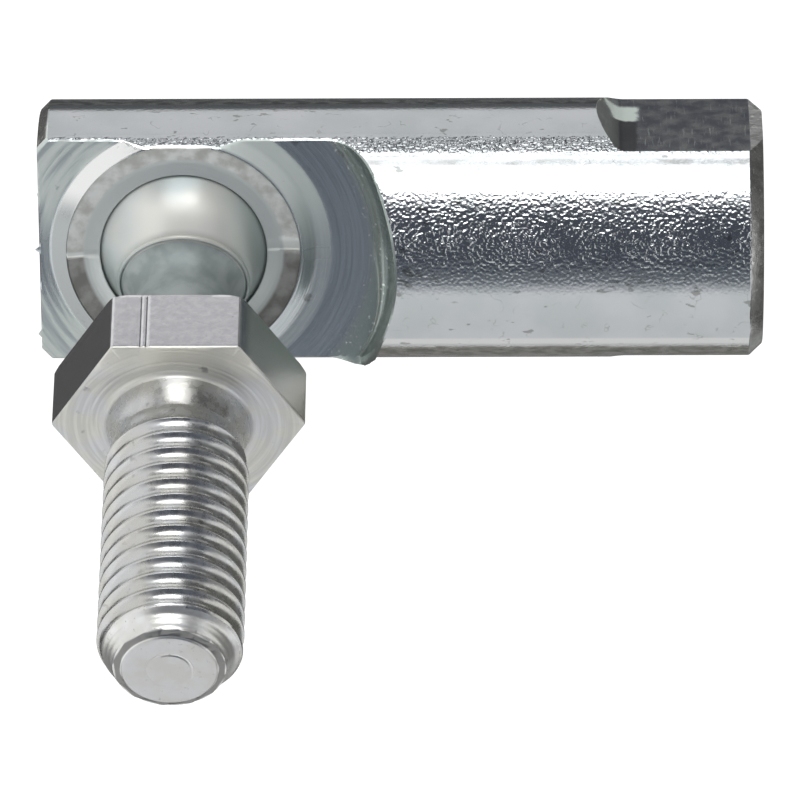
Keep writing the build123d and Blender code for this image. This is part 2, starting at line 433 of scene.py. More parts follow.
def face_profile(angle):
    """Stations (radius, height) of the socket, collar and spot face along one ray from the ball's axis."""
    foot, rise = wall_foot(angle)
    place, width = RIDGE_RIGHT if cos(angle) > 0 else RIDGE_LEFT
    past = sin(angle) * (PRESS_IN_R + PRESS_OUT_R) / 2 - place
    depth = float(smoothstep((abs(past) - width / 2 + 0.1) / 0.2)) * (PRESS_UPPER if past > 0 else PRESS_LOWER)
    floor = COLLAR_H - depth
    inner = floor - PRESS_DISH
    ripple = 0.012 * rough(4 * cos(angle), 0, 4 * sin(angle), 1.1)
    seat = arc((0, 0), SEAT_R, -pi / 2, asin(LIP_ROOT_H / SEAT_R), 16)
    lip = [
        (LIP_EDGE_R + 0.02, LIP_EDGE_H - 0.05),
        (LIP_EDGE_R, LIP_EDGE_H - 0.02),
        (LIP_EDGE_R + 0.04, LIP_EDGE_H),
        (PRESS_IN_R - 0.1, inner + ripple),
        (PRESS_IN_R, inner + ripple),
    ]
    slope = PRESS_DISH / (PRESS_OUT_R - PRESS_IN_R)
    ring = [
        (r, inner + slope * (r - PRESS_IN_R) + pressed_marks(r, angle) + ripple)
        for r in np.linspace(PRESS_IN_R + 0.08, PRESS_OUT_R - 0.06, 12)
    ]
    rim = [
        (PRESS_OUT_R, floor + 0.01),
        (PRESS_OUT_R + 0.03, COLLAR_H - 0.01),
        (COLLAR_TOP_R - 0.06, COLLAR_H),
        (COLLAR_TOP_R, COLLAR_H - 0.02),
        (COLLAR_TOP_R + 0.06, COLLAR_H - 0.065),
        ((COLLAR_TOP_R + COLLAR_BASE_R) / 2, (COLLAR_H + FACE_H) / 2 + ripple * 0.4),
        (COLLAR_BASE_R - 0.1, FACE_H + 0.08),
        (COLLAR_BASE_R - 0.02, FACE_H + 0.03),
        (COLLAR_BASE_R + 0.08, FACE_H),
    ]
    face = [
        (r, FACE_H + face_marks(r, angle))
        for r in np.linspace(COLLAR_BASE_R + 0.15, FACE_R - foot - 0.03, 40)
    ]
    wall = [
        (FACE_R - foot + foot * cos(turn), FACE_H + rise + rise * sin(turn))
        for turn in np.linspace(-pi / 2, 0, 16)
    ]
    return seat + lip + ring + rim + face + wall


def pressed_marks(radius, angle):
    """Height of the uneven surface that the staking punch leaves."""
    return 0.006 * rough(radius * cos(angle), 5, radius * sin(angle), 0.5)


def face_marks(radius, angle):
    """Height of the spot-facing tool's marks: coarse rings and smears behind the ball, fine ones beyond it."""
    behind = float(smoothstep((-cos(angle) + 0.35) / 0.7))
    along, up = radius * cos(angle), radius * sin(angle)
    drift = radius + 0.1 * cos(angle * 2 + 1) + 0.06 * rough(along, 1, up, 1.5)
    fine = 0.0006 * sin(drift * 2 * pi / 0.21) * (1 + rough(along, 2, up, 0.8))
    coarse = 0.0035 * sin(drift * 2 * pi / 0.36) * max(0.0, 0.5 + 1.2 * rough(along, 3, up, 1.6))
    smear = 0.014 * rough(along * 1.6, 4, up, 1.3)
    return fine + behind * (coarse + smear)


def edge_up(along, height):
    """How far up the bar's surface lies at a height above the axis plane."""
    return sqrt(max(bar_radius(along) ** 2 - height**2, 0))


def burr(along, height, up):
    """Shift (along, height, up) of the spot face's edge where the tool raised a burr."""
    ragged = 0.5 + 0.5 * rough(along, height, up, 0.35)
    on_wall = float(smoothstep((along - 7.6) / 0.4))
    out = 0.004 + 0.004 * ragged + 0.03 * ragged * on_wall
    shift = np.array((0.0, out * height / BAR_R, out * up / BAR_R))
    if up < 0:
        lip = float(smoothstep((along - TORN_LIP[0]) / 1.7) * smoothstep((TORN_LIP[1] - along) / 0.4))
        shift += np.array((0.0, 0.06, -(TORN_DROP + 0.16 * (ragged - 0.5)))) * lip
    if along < BACK_END + 0.2:
        for place, size in END_BURRS:
            shift += np.array((-size, 0.03, 0.0)) * exp(-(((up - place) / 0.11) ** 2))
    return shift


def edge_crossing(angle, stations):
    """Radius and height where a ray of the spot face leaves the bar, or None where it meets the round wall."""
    c, s = cos(angle), sin(angle)

    def outside(radius, height):
        return radius * abs(s) > edge_up(radius * c, height) or radius * c < BACK_END

    for (low_r, low_h), (radius, height) in zip(stations, stations[1:]):
        if radius < COLLAR_TOP_R - 1 or not outside(radius, height):
            continue
        a, b = 0.0, 1.0
        for _ in range(30):
            mid = (a + b) / 2
            out = outside(low_r + (radius - low_r) * mid, low_h + (height - low_h) * mid)
            a, b = (a, mid) if out else (mid, b)
        return low_r + (radius - low_r) * a, low_h + (height - low_h) * a
    return None


def step_back(path, length):
    """A path of points without the last stretch of a length."""
    while len(path) > 2:
        start, end = np.array(path[-2]), np.array(path[-1])
        piece = hypot(*(end - start))
        if piece > length:
            return path[:-1] + [tuple(end - (end - start) * length / piece)]
        length -= piece
        path = path[:-1]
    return path


def cut_ray(angle):
    """One ray of the spot face: its points (along, height, up) from the socket to the bar's outer surface."""
    c, s = cos(angle), sin(angle)
    stations = face_profile(angle)
    count = len(stations) + 1
    crossing = edge_crossing(angle, stations)
    if crossing:
        edge_r, edge_h = crossing
        *kept, inner = step_back([(r, h) for r, h in stations if r < edge_r] + [crossing], RIM_IN)
    else:
        edge_r, edge_h = FACE_R, sqrt(BAR_R**2 - (FACE_R * s) ** 2)
        inner = (FACE_R, max(edge_h - RIM_IN, stations[-1][1]))
        kept = stations
    kept = kept + [inner] * (count - len(kept))
    points = [np.array((r * c, h, r * s)) for r, h in kept]

    edge = np.array((edge_r * c, edge_h, edge_r * s))
    if edge[0] < BACK_END + 1e-4:
        outer = edge + (0, -RIM_OUT, 0)
    else:
        start, end = foot_angles(*wall_foot(angle))
        share = float(smoothstep((abs(angle) - start) / (end - start)))
        wall_r = edge_r + RIM_OUT * (1 + 0.8 * (1 - share) * float(smoothstep(1 + s / 0.3)))
        wall_outer = np.array((wall_r * c, sqrt(max(BAR_R**2 - (wall_r * s) ** 2, 0)), wall_r * s))
        radius = float(bar_radius(edge[0]))
        turn = atan2(abs(edge[2]), edge[1]) + RIM_OUT / BAR_R
        bar_outer = np.array((edge[0], radius * cos(turn), radius * sin(turn) * (1 if s > 0 else -1)))
        outer = wall_outer * (1 - share) + bar_outer * share
    middle = edge + ((points[-1] + outer) / 2 - edge) * 0.8 + burr(*edge)
    return points + [middle, outer]


def ray_angles():
    """Angles of the upper rays, from +X to -X: even ones, and one at each corner of the outline."""
    edge = edge_up(0, FACE_H)
    top = edge_up(0, COLLAR_H)
    collar = [asin(edge / COLLAR_BASE_R), asin(top / COLLAR_TOP_R)]
    corners = [*foot_angles(*WALL_FOOT_UPPER), *foot_angles(*WALL_FOOT_LOWER), *collar]
    corners += [pi - a for a in collar]
    chamfer_end = BACK_END + BALL_END_CHAMFER
    for along in (chamfer_end + KNEE, chamfer_end - KNEE, BACK_END + EDGE / 2, BACK_END + 1e-6):
        corners.append(atan2(edge_up(along, FACE_H), along))
    even = [a for a in np.radians(np.arange(0, 180.01, 1.25)) if all(abs(a - c) > 0.006 for c in corners)]
    return sorted(even + corners)


def outline_row(along, start_top, start_low, along_low=None):
    """The bar's section at one place, from the spot face's upper edge round the back to its lower edge."""
    radius = float(bar_radius(along))
    flat = float(flat_height(along))
    side = asin(min(flat / radius, 1.0))
    across = np.linspace(1, -1, 15)
    points = arc((0, 0), radius, start_top, side, 32)
    points += [(radius * cos(side) * a, flat) for a in across]
    points += arc((0, 0), radius, pi - side, pi + side, 90)
    points += [(-radius * cos(side) * a, -flat) for a in across]
    points += arc((0, 0), radius, -side, start_low, 32)
    places = np.linspace(along, along if along_low is None else along_low, len(points))
    return [bar_point(place, h, u) for place, (h, u) in zip(places, points)]


def housing_body():
    """The one-piece housing down to the mouth of its threaded hole."""
    upper = ray_angles()
    angles = upper + [-a for a in reversed(upper) if 1e-6 < a < pi - 1e-6]
    rays = {a: cut_ray(a) for a in angles}
    stations = len(rays[angles[0]])
    verts = [bar_point(*p) for angle in angles for p in rays[angle]]
    faces = [
        (i * stations + j, i * stations + j + 1, k * stations + j + 1, k * stations + j)
        for i in range(len(angles))
        for k in [(i + 1) % len(angles)]
        for j in range(stations - 1)
    ]

    # the bar's round surface beside the spot face, one section at each ray's end
    rows = []
    for angle in reversed(upper):
        along, height, up = rays[angle][-1]
        if along < BACK_END + 1e-7:
            continue
        low = rays.get(-angle, rays[angle])[-1]
        rows.append(outline_row(along, atan2(up, height), -atan2(abs(low[2]), low[1]), low[0]))
    foot = ROD_END - FLATS_L
    runout = foot - (BAR_R - FLATS_ACROSS / 2) / tan(FLATS_RUNOUT)
    chamfer = ROD_END - ROD_END_CHAMFER
    for along in [
        *np.linspace(FACE_R + RIM_OUT + 0.3, runout, 8),
        *np.linspace(runout + 0.04, foot + 0.45, 28),
        *np.linspace(foot + 0.8, chamfer - KNEE, 8),
        *(chamfer + KNEE, ROD_END - EDGE / 2, ROD_END),
    ]:
        rows.append(outline_row(along, 0.0, 0.0))
    columns = len(rows[0])
    faces += grid_faces(len(rows), columns, False, len(verts))
    verts += [p for row in rows for p in row]

    # the plain end behind the ball: one flat face, from the spot face's edge round the back
    ends = sorted((rays[a][-1] for a in angles if rays[a][-1][0] < BACK_END + 1e-5), key=lambda p: p[2])
    start = len(verts)
    verts += [bar_point(*p) for p in ends] + rows[0]
    faces.append(tuple(range(start, len(verts))))

    # the threaded end: rings from the section's outline in to the mouth's chamfer
    mouth = TAP_R + MOUTH_CHAMFER
    rings = [
        (None, ROD_END),
        (mouth + 1.2, ROD_END),
        (mouth + 0.04, ROD_END),
        (mouth - 0.03, ROD_END - 0.03),
        (TAP_R, ROD_END - MOUTH_CHAMFER),
    ]
    faces += grid_faces(len(rings), columns, False, len(verts))
    for radius, along in rings:
        for p in rows[-1]:
            h, u = -(p.y - BALL.y) / MM, (p.z - BALL.z) / MM
            share = 1 if radius is None else radius / hypot(h, u)
            verts.append(bar_point(along, h * share, u * share))
    return mesh_object("socket_housing_turned", verts, faces)


def housing_region(centre, normal):
    """Which finish a face of the housing has: 0 bar, 1 spot face, 2 collar, 3 wrench flat, 4 turned ends."""
    offset = (centre - BALL) / MM
    along, height, up = offset.x, -offset.y, offset.z
    reach, radius = hypot(along, up), hypot(height, up)
    depth = BAR_R - radius
    if abs(normal.z) > 0.6 and along > ROD_END - FLATS_L - 1.3 and depth > 0.03:
        return 3 if along < ROD_END - ROD_END_CHAMFER else 4
    if along > ROD_END - ROD_END_CHAMFER or along < BACK_END + BALL_END_CHAMFER and height < FACE_H - 0.2:
        return 4
    facing = (-normal.y * height + normal.z * up) / radius
    if height > 0 and reach < PRESS_OUT_R + 0.02 and depth > 0.02:
        return 2
    return 1 if height > 0 and reach < FACE_R + 0.4 and (depth > 0.02 or facing < 0.985) else 0


def rod_bore():
    """The tapped hole: its thread starts in the mouth's chamfer and fades out before the drill's point."""
    angles = np.radians(np.arange(0, 360, 3.75))
    pitch = thread_pitch(0.2, 0.14)
    full_depth = max(depth for _, depth in pitch)
    lead = len(pitch) - 1
    start, end = MOUTH_CHAMFER * 0.4, HOLE_DEPTH
    rows = []
    for turn in range(-3, int(HOLE_DEPTH / PITCH) + 2):
        for offset, depth in pitch[:-1]:
            inward = np.clip(PITCH * (turn - angles / (2 * pi) + 1) + offset, start, end)
            grown = smoothstep((end - 0.5 - inward) / 1.2)
            radius = TAP_R + (full_depth - depth) * grown
            mouth = TAP_R + MOUTH_CHAMFER - inward
            rows.append(list(zip(inward, np.maximum(radius, mouth), angles)))
    columns = len(angles)
    faces = helix_faces(len(rows), columns, -lead)
    first = len(rows) * columns
    tip = [(end, TAP_R + 0 * angles), (end + TAP_R / tan(DRILL_POINT / 2), 0 * angles)]
    rows += [[(inward, r, t) for r, t in zip(radius, angles)] for inward, radius in tip]
    faces += grid_faces(2, columns, True, first)
    verts = [bar_point(ROD_END - s, r * cos(t), r * sin(t)) for row in rows for s, r, t in row]
    bore = mesh_object("rod_thread_bore", verts, faces)
    for polygon in bore.data.polygons:
        polygon.flip()
    return bore


# ---- materials ----
class Finish:
    """A metal finish, built up node by node. Sizes are in mm, and x, y and z are measured from the ball."""

    def __init__(self, name, roughness, metallic=1.0):
        self.material = bpy.data.materials.new(name)
        self.material.use_nodes = True
        self.tree = self.material.node_tree
        self.shader = self.tree.nodes["Principled BSDF"]
        self.shader.inputs["Roughness"].default_value = roughness
        self.shader.inputs["Metallic"].default_value = metallic
        self.place = self.node("TexCoord").outputs["Object"]
        offset = self.vector("SUBTRACT", self.place, BALL)
        self.offset = self.vector("MULTIPLY", offset, (1 / MM,) * 3)
        self.x, self.y, self.z = self.node("SeparateXYZ", {0: self.offset}).outputs
        self.base = None
        self.normal = None

    def node(self, kind, sockets=None, **settings):
        node = self.tree.nodes.new("ShaderNode" + kind)
        for name, value in settings.items():
            setattr(node, name, value)
        for socket, value in (sockets or {}).items():
            if isinstance(value, bpy.types.NodeSocket):
                self.tree.links.new(value, node.inputs[socket])
            else:
                node.inputs[socket].default_value = value
        return node

    def feed(self, socket, value):
        """Links a value to a socket of the shader, in place of what was linked to it."""
        self.tree.links.new(value, self.shader.inputs[socket])

    # -- sums
    def math(self, operation, a, b=0.0):
        return self.node("Math", {0: a, 1: b}, operation=operation).outputs[0]

    def vector(self, operation, a, b=(0, 0, 0), output="Vector"):
        return self.node("VectorMath", {0: a, 1: b}, operation=operation).outputs[output]

    def times(self, first, *others):
        for other in others:
            first = self.math("MULTIPLY", first, other)
        return first

    def most(self, a, b):
        return self.math("MAXIMUM", a, b)

    def off(self, value, middle):
        """How far a value lies from a middle."""
        return self.math("ABSOLUTE", self.math("SUBTRACT", value, middle))

    def reach(self, axis):
        """How far a place lies from the ball's centre along an axis."""
        return self.vector("DOT_PRODUCT", self.offset, axis, "Value")

    def spread(self, value, low, high, start=0.0, end=1.0):
        """Smooth step from start to end as a value goes from low to high."""
        sockets = {"Value": value, "From Min": low, "From Max": high, "To Min": start, "To Max": end}
        return self.node("MapRange", sockets, interpolation_type="SMOOTHSTEP").outputs["Result"]

    def polar(self):
        """Radius from the ball's axis, and a place that turns with it, for marks that run round the axis."""
        flat = self.vector("MULTIPLY", self.offset, (1, 0, 1))
        radius = self.vector("LENGTH", flat, output="Value")
        unit = self.node("SeparateXYZ", {0: self.vector("NORMALIZE", flat)}).outputs
        return radius, self.node("CombineXYZ", {0: unit[0], 1: radius, 2: unit[2]}).outputs[0]

    # -- patterns
    def noise(self, size, detail, stretch=(1, 1, 1), place=None):
        """Noise with features of about a size, longer along an axis by its stretch. A place is given in mm."""
        scale = 1 / MM if place is None else 1
        factors = [scale / size / s for s in stretch]
        place = self.vector("MULTIPLY", self.place if place is None else place, factors)
        return self.node("TexNoise", {"Vector": place, "Scale": 1.0, "Detail": detail}).outputs["Fac"]

    def patches(self, size, detail, low, high, stretch=(1, 1, 1), place=None):
        """Noise as a share from 0 to 1, which it reaches at its low and high levels."""
        return self.spread(self.noise(size, detail, stretch, place), low, high)

    # -- looks
    def mix(self, share, a, b):
        """A blend of two colours."""
        a, b = ((*c, 1) if isinstance(c, tuple) else c for c in (a, b))
        return self.node("Mix", {"Factor": share, 6: a, 7: b}, data_type="RGBA").outputs[2]

    def blotches(self, size, detail, low, high, a, b):
        """Starts the colour as blotches of two colours, and gives back their pattern."""
        patches = self.patches(size, detail, low, high)
        self.base = self.mix(patches, a, b)
        return patches

    def cover(self, share, colour):
        """Lays a colour over the one so far."""
        self.base = self.mix(share, self.base, colour)
        self.feed("Base Color", self.base)

    def bump(self, height, depth):
        """Adds a relief of a depth."""
        sockets = {"Height": height, "Distance": depth * MM}
        if self.normal:
            sockets["Normal"] = self.normal
        self.normal = self.node("Bump", sockets).outputs["Normal"]
        self.feed("Normal", self.normal)


def bar_skin():
    """Drawn bar under bright plate: an orange peel that sparkles at its front, pits and thin curved marks,
    mottled strips along its top and bottom, and a painted reflection: a pale line low on its front."""
    finish = Finish("bar_skin", 0.15)
    up = finish.z
    front = finish.spread(finish.y, 0.5, -1.5)
    low = finish.times(finish.spread(up, -0.6, 1.5), finish.spread(up, 3.85, 3.5))
    low = finish.times(low, finish.spread(up, 3.4, 1.7, 0.36, 1.15))
    high = finish.times(finish.spread(up, 4.75, 4.9), finish.spread(up, 5.33, 5.24, 0.0, 0.8))
    patchy = finish.spread(finish.noise(1.5, 2.0), 0.3, 0.6, 0.75, 1.1)
    depth = finish.math("ADD", finish.times(finish.most(low, high), front, patchy), 0.06)
    finish.bump(finish.times(finish.noise(0.14, 0.5), depth), 0.062)

    finish.blotches(2.4, 3.0, 0.35, 0.65, (0.425, 0.45, 0.46), (0.47, 0.485, 0.50))
    # painted reflection: a pale line low on the front, where the bar mirrors a light band below it
    line = finish.spread(finish.off(up, -3.5), 0.28, 0.12)
    finish.cover(finish.times(line, front), (0.56, 0.565, 0.56))
    mottle = finish.patches(0.4, 4.0, 0.4, 0.62, (1.6, 1, 1))
    bottom = finish.times(finish.spread(up, -3.7, -3.95), front)
    finish.cover(bottom, finish.mix(mottle, (0.40, 0.395, 0.37), (0.62, 0.615, 0.585)))
    top = finish.times(finish.spread(up, 4.9, 5.1), finish.spread(finish.y, 0.35, 0.6))
    finish.cover(top, finish.mix(mottle, (0.24, 0.24, 0.23), (0.58, 0.575, 0.555)))

    pits = finish.patches(0.5, 5.0, 0.655, 0.70, (1.8, 1, 1))
    curves = finish.spread(finish.off(finish.noise(1.3, 3.0), 0.5), 0.012, 0.004)
    marks = finish.times(curves, finish.patches(0.9, 2.0, 0.52, 0.62), 0.5)
    streak = finish.spread(finish.off(up, 4.55), 0.14, 0.04)
    streak = finish.times(streak, finish.patches(0.7, 4.0, 0.4, 0.6, (2.5, 1, 1)), front, 0.75)
    stains = finish.most(finish.most(pits, marks), streak)
    finish.cover(finish.times(stains, 0.65), (0.16, 0.165, 0.15))
    return finish.material


def spot_face():
    """Spot-faced steel: strokes round the ball's axis, greenish at its rim, with a milky film at the collar's
    foot and behind the ball, laid on thicker above and below the ball's height as painted light. The collar's
    cone has painted shade on its left and a pale painted highlight at its upper left."""
    finish = Finish("spot_face", 0.17)
    radius, turned = finish.polar()
    finish.bump(finish.noise(1, 3.0, (0.35, 0.09, 0.35), turned), 0.006)
    finish.bump(finish.noise(0.25, 3.0), 0.003)
    on_face = finish.spread(radius, COLLAR_BASE_R - 0.06, COLLAR_BASE_R + 0.08)
    on_cone = finish.spread(on_face, 0.6, 0.3)
    behind = finish.times(finish.spread(finish.x, -2.0, -4.0), on_face)
    # the film is laid on thicker above and below the ball's height: partly a milky film, partly painted light
    # where the sheen mirrors darker
    corners = finish.spread(finish.off(finish.z, -0.3), 0.3, 3.5, 0.35, 1.5)
    smears = finish.spread(finish.noise(1, 5.0, (0.8, 0.3, 0.8), turned), 0.36, 0.6, 0.35, 1.0)
    foot = finish.spread(finish.off(radius, COLLAR_BASE_R + 0.05), 0.75, 0.55)
    upper_right = finish.times(finish.spread(finish.z, -1.0, 3.4, 0.3, 1.0), finish.spread(finish.x, 0.0, 2.0))
    film = finish.most(finish.times(behind, corners, smears), finish.times(foot, upper_right))
    rim = finish.spread(radius, 7.9, 8.6)

    strokes = finish.patches(1, 4.0, 0.36, 0.66, (0.6, 0.12, 0.6), turned)
    finish.base = finish.mix(strokes, (0.43, 0.465, 0.495), (0.52, 0.555, 0.585))
    finish.cover(rim, (0.37, 0.42, 0.40))
    # painted shade on the left of the collar's cone
    finish.cover(finish.times(on_cone, finish.spread(finish.x, -1.0, -3.0)), (0.36, 0.38, 0.385))
    # painted highlight: the upper left of the collar's cone is painted pale, in place of a lamp's reflection
    upper_left = finish.times(finish.spread(finish.z, 1.6, 3.0), finish.spread(finish.x, 0.0, -1.0))
    finish.cover(finish.times(upper_left, on_cone), (0.82, 0.83, 0.82))
    specks = finish.times(finish.patches(0.2, 3.0, 0.62, 0.7), finish.spread(radius, 7.6, 8.4))
    finish.cover(specks, (0.85, 0.88, 0.84))
    finish.cover(film, (0.62, 0.675, 0.65))
    finish.cover(finish.times(finish.patches(0.9, 5.0, 0.66, 0.74), 0.6), (0.15, 0.15, 0.14))
    dull = finish.most(film, finish.times(rim, 0.25))
    finish.feed("Metallic", finish.math("SUBTRACT", 1.0, finish.times(dull, 0.8)))
    finish.feed("Roughness", finish.math("ADD", 0.17, finish.times(dull, 0.25)))
    return finish.material


def staked_collar():
    """The collar's pressed ring: dull, mottled and a little brown, darkest in its lower half, and paler towards
    the ball and on the two ridges."""
    finish = Finish("staked_collar", 0.34, 0.6)
    radius, turned = finish.polar()
    finish.bump(finish.noise(0.3, 4.0), 0.008)
    finish.bump(finish.noise(1, 3.0, (0.5, 0.12, 0.5), turned), 0.005)
    patches = finish.blotches(0.9, 4.0, 0.36, 0.64, (0.58, 0.575, 0.54), (0.86, 0.87, 0.845))
    lower = finish.mix(patches, (0.24, 0.235, 0.22), (0.40, 0.395, 0.38))
    finish.cover(finish.spread(finish.z, 0.1, -0.15), lower)
    for (height, width), side in ((RIDGE_RIGHT, 1), (RIDGE_LEFT, -1)):
        ridge = finish.spread(finish.off(finish.z, height), width / 2 + 0.06, width / 2 - 0.06)
        finish.cover(finish.times(ridge, finish.spread(finish.x, 0, side)), (0.86, 0.88, 0.85))
    finish.cover(finish.spread(radius, PRESS_IN_R + 0.2, PRESS_IN_R + 0.02), (0.66, 0.695, 0.68))
    return finish.material


def wrench_flat():
    """Milled flats: dark, mottled, and scratched across. Where the cutter ran out there is a pale,
    sickle-shaped painted highlight, and a dark patch and the darkened run-out slope are painted shade."""
    finish = Finish("wrench_flat", 0.2)
    finish.blotches(0.8, 5.0, 0.34, 0.7, (0.14, 0.15, 0.185), (0.32, 0.33, 0.33))
    scratches = finish.patches(0.09, 3.0, 0.56, 0.76, (1, 14, 1))
    finish.cover(finish.times(scratches, 0.6), (0.62, 0.64, 0.62))
    wave = finish.times(finish.math("SUBTRACT", finish.noise(0.8, 3.0), 0.5), 0.5)
    along, across = (finish.math("ADD", value, wave) for value in (finish.x, finish.y))
    start = ROD_END - FLATS_L
    # painted shade: a dark patch where the cutter ran out
    patch = finish.times(
        finish.spread(along, start + 0.95, start + 0.75),
        finish.spread(across, 0.5, 0.35),
        finish.spread(along, start - 0.45, start - 0.25),
    )
    finish.cover(finish.times(patch, 0.9), (0.08, 0.08, 0.085))
    # painted shade on the run-out slope
    finish.cover(finish.spread(along, start - 0.1, start - 0.4, 0.0, 0.7), (0.10, 0.105, 0.105))
    # painted highlight: a pale, sickle-shaped patch at the foot of the run-out
    slanted = finish.math("ADD", along, finish.times(across, 0.37))
    painted_highlight_crescent = finish.times(
        finish.spread(across, 0.4, 0.6),
        finish.spread(across, 2.25, 1.85),
        finish.spread(slanted, start, start + 0.2),
        finish.spread(along, start + 1.05, start + 0.75),
    )
    finish.cover(painted_highlight_crescent, (0.62, 0.69, 0.64))
    finish.feed("Metallic", finish.math("SUBTRACT", 1.0, finish.times(painted_highlight_crescent, 0.9)))
    finish.bump(finish.noise(0.12, 2.0, (1, 10, 1)), 0.003)
    return finish.material


def turned_end():
    """Ends and chamfers as they left the lathe: dull and dark, with pale specks."""
    finish = Finish("turned_end", 0.26)
    finish.blotches(0.7, 4.0, 0.35, 0.62, (0.36, 0.36, 0.35), (0.52, 0.52, 0.51))
    finish.cover(finish.times(finish.patches(0.25, 4.0, 0.58, 0.68), 0.8), (0.75, 0.75, 0.72))
    finish.bump(finish.noise(0.25, 3.0), 0.01)
    return finish.material


def ball_film():
    """The ball: a pale, milky chromate film that blurs what it reflects, with painted light in its middle and
    painted shade near the lip, on its right and underneath.
    """
    finish = Finish("ball_film", 0.31, 0.24)
    finish.blotches(2.6, 3.0, 0.36, 0.66, (0.52, 0.575, 0.575), (0.61, 0.605, 0.56))
    # painted light: a paler middle below the highlight
    middle = finish.times(
        finish.spread(finish.off(finish.x, -0.3), 3.0, 0.8),
        finish.spread(finish.z, 3.3, 2.3),
        finish.spread(finish.reach(STUD_AXIS), 3.36, 3.1),
    )
    finish.cover(middle, (0.83, 0.825, 0.775))
    # painted shade at the top of the ball, near the lip
    finish.cover(finish.spread(finish.z, 2.9, 3.9, 0.0, 0.7), (0.40, 0.45, 0.445))
    # painted shade on the ball's right and underneath
    deep = finish.most(finish.spread(finish.x, 1.2, 3.6), finish.spread(finish.z, 0.6, -1.6))
    finish.cover(deep, (0.34, 0.395, 0.38))
    finish.feed("Roughness", finish.spread(finish.noise(1.0, 4.0), 0.35, 0.7, 0.31, 0.36))
    finish.bump(finish.noise(0.5, 3.0), 0.004)
    return finish.material


def neck_film():
    """The necked waist: dull and greenish, with painted light where it flares to the hexagon."""
    finish = Finish("neck_film", 0.55, 0.5)
    finish.blotches(1.0, 4.0, 0.36, 0.64, (0.30, 0.345, 0.34), (0.40, 0.44, 0.435))
    # painted light where the neck flares to the hexagon
    flare = finish.spread(finish.reach(STUD_AXIS), HEX_BACK - 2.2, HEX_BACK - 1.2)
    finish.cover(flare, (0.97, 0.98, 1.0))
    finish.bump(finish.noise(0.3, 3.0), 0.006)
    return finish.material


def hexagon_plate():
    """Drawn flats of the hexagon: smooth, with fine specks, and painted light on the upper flat and on the
    right.
    """
    finish = Finish("hexagon_plate", 0.24)
    patches = finish.blotches(0.35, 4.0, 0.35, 0.65, (0.45, 0.45, 0.465), (0.50, 0.495, 0.51))
    # painted light on the hexagon's upper flat
    upper = finish.mix(patches, (0.65, 0.65, 0.67), (0.71, 0.705, 0.725))
    finish.cover(finish.spread(finish.reach(STUD_UP), 4.6, 4.7), upper)
    # painted light on the hexagon's right-hand flats
    finish.cover(finish.spread(finish.x, 2.9, 3.3), (0.80, 0.79, 0.74))
    finish.cover(finish.times(finish.patches(0.16, 2.0, 0.7, 0.76), 0.5), (0.2, 0.2, 0.2))
    finish.bump(finish.noise(0.22, 3.0), 0.002)
    return finish.material


def hexagon_front():
    """The hexagon's turned front face: dull and pale, with strokes round the stud's axis, a warm painted
    highlight at its top and a few dark smudges."""
    finish = Finish("hexagon_front", 0.36, 0.5)
    finish.blotches(1.6, 4.0, 0.38, 0.64, (0.71, 0.705, 0.655), (0.68, 0.695, 0.715))
    up = finish.reach(STUD_UP)
    flat = finish.node("CombineXYZ", {0: finish.x, 1: up}).outputs[0]
    radius = finish.vector("LENGTH", flat, output="Value")
    turned = finish.node("CombineXYZ", {0: radius, 1: finish.times(finish.x, 0.3), 2: finish.times(up, 0.3)})
    strokes = finish.noise(1, 4.0, (0.16, 1, 1), turned.outputs[0])
    finish.bump(strokes, 0.006)
    finish.bump(finish.noise(0.3, 3.0), 0.004)
    finish.cover(finish.spread(strokes, 0.36, 0.62, 0.0, 0.35), (0.40, 0.40, 0.385))
    # painted highlight: warm and bright at the top of the face, strongest in the middle
    middle = finish.spread(finish.off(finish.x, 0.0), 2.2, 0.6, 0.5, 1.0)
    finish.cover(finish.times(finish.spread(up, 2.6, 3.9), middle), (1.0, 0.975, 0.87))
    finish.cover(finish.times(finish.patches(0.9, 5.0, 0.65, 0.74), 0.6), (0.16, 0.17, 0.18))
    return finish.material


def shank_end():
    """The shank's chamfered end: duller than the thread, with painted shade on the step round its pale end
    face.
    """
    finish = Finish("shank_end", 0.33, 0.85)
    patches = finish.blotches(1.2, 4.0, 0.36, 0.64, (0.70, 0.695, 0.665), (0.80, 0.81, 0.81))
    along = finish.reach(STUD_AXIS)
    # painted shade on the step before the end face
    step = END_PROFILE[-2][0]
    before = finish.spread(along, step - 0.08, step - 0.05)
    after = finish.spread(along, step + 0.06, step + 0.02)
    finish.cover(finish.times(before, after), (0.24, 0.24, 0.235))
    face = finish.mix(patches, (0.53, 0.53, 0.515), (0.57, 0.575, 0.59))
    finish.cover(finish.spread(along, STUD_END - 0.07, STUD_END - 0.03), face)
    finish.cover(finish.times(finish.patches(0.25, 4.0, 0.64, 0.72), 0.5), (0.28, 0.28, 0.27))
    finish.bump(finish.noise(0.3, 3.0), 0.006)
    return finish.material


def thread_plate():
    """Rolled thread: bright, a little warm, and dulled by its plating."""
    finish = Finish("thread_plate", 0.28)
    finish.blotches(1.6, 4.0, 0.38, 0.62, (0.55, 0.545, 0.52), (0.575, 0.585, 0.59))
    finish.cover(finish.times(finish.patches(0.5, 6.0, 0.64, 0.74), 0.45), (0.25, 0.24, 0.22))
    finish.feed("Roughness", finish.spread(finish.noise(0.4, 4.0), 0.35, 0.7, 0.23, 0.35))
    finish.bump(finish.noise(0.2, 3.0), 0.003)
    return finish.material


